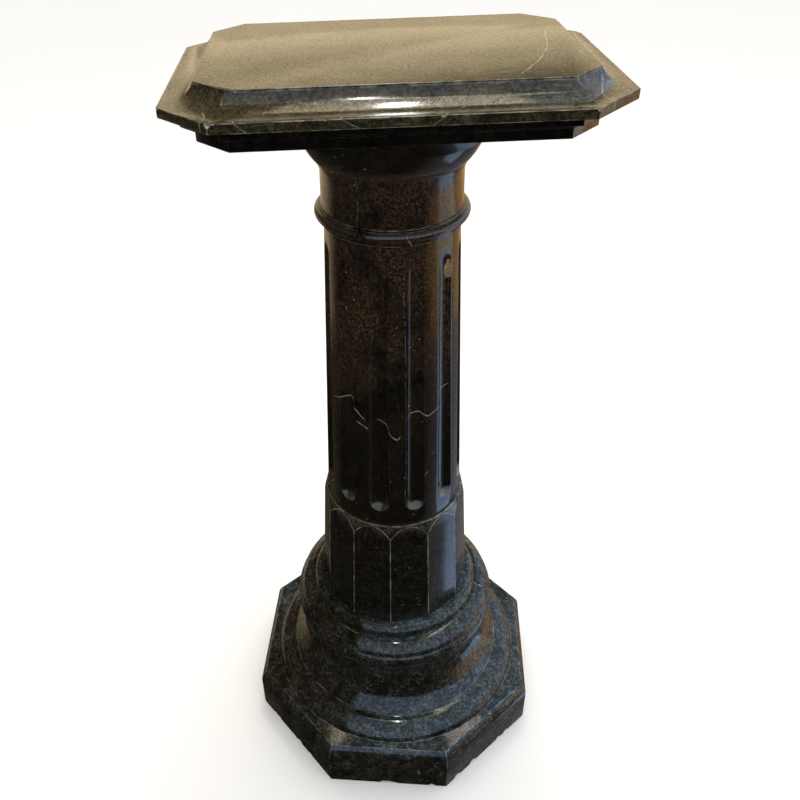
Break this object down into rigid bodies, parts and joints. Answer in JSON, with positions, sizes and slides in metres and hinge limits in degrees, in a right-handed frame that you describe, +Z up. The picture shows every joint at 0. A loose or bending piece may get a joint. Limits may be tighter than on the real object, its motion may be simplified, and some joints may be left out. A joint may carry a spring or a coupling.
{
  "type": "marble pedestal column",
  "caption": "Dark green marble pedestal column with a canted rectangular top, fluted shaft, faceted drum, turned mouldings and an octagonal plinth.",
  "frame": {"origin": "centre of the plinth's underside, on the axis of the column", "axes": "+Z up along the column's axis, the long side of the top along X, the front faces -Y"},
  "size_m": [0.4572, 0.4528, 1.05],
  "materials": {
    "top_slab": "polished green-brown marble with fine dark speckle, gloss",
    "abacus": "polished green-brown marble, darker under the slab, gloss",
    "capital": "polished dark green-black marble with brown clouds and fine white veins, high gloss",
    "shaft": "polished dark green-black marble with brown clouds and fine white veins, high gloss",
    "drum": "polished dark green-black marble with grey-green mottling, high gloss",
    "base_moulding": "polished dark green-black marble with grey-green mottling, high gloss",
    "plinth": "polished dark green-black marble with grey-green mottling, worn edges, high gloss"
  },
  "bodies": {
    "root": {"top_slab": "top_slab", "abacus": "abacus", "capital": "capital", "shaft": "shaft", "drum": "drum", "base_moulding": "base_moulding", "plinth": "plinth"}
  },
  "joints": []
}
